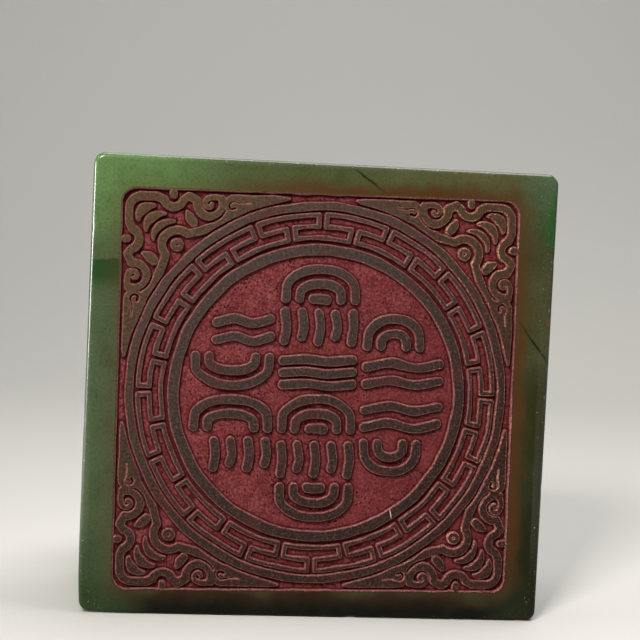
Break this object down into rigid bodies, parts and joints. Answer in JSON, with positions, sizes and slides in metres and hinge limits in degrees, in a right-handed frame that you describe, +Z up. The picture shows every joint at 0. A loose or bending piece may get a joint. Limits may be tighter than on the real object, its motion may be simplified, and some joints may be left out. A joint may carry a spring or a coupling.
{
  "type": "lion seal",
  "caption": "Square jade seal with a carved face of ring, key-fret and corner scrolls, and a recumbent lion as its knob.",
  "frame": {"origin": "on the ground under the middle of the seal as it lies on its flank", "axes": "-Y is the way the carved face looks, +Y the way the lion stands out of the block, +Z is up the face and +X to the right of someone who looks at the face"},
  "size_m": [0.1, 0.096, 0.098],
  "materials": {
    "jade": "handled polish"
  },
  "bodies": {
    "root": {"seal": "jade"}
  },
  "joints": []
}
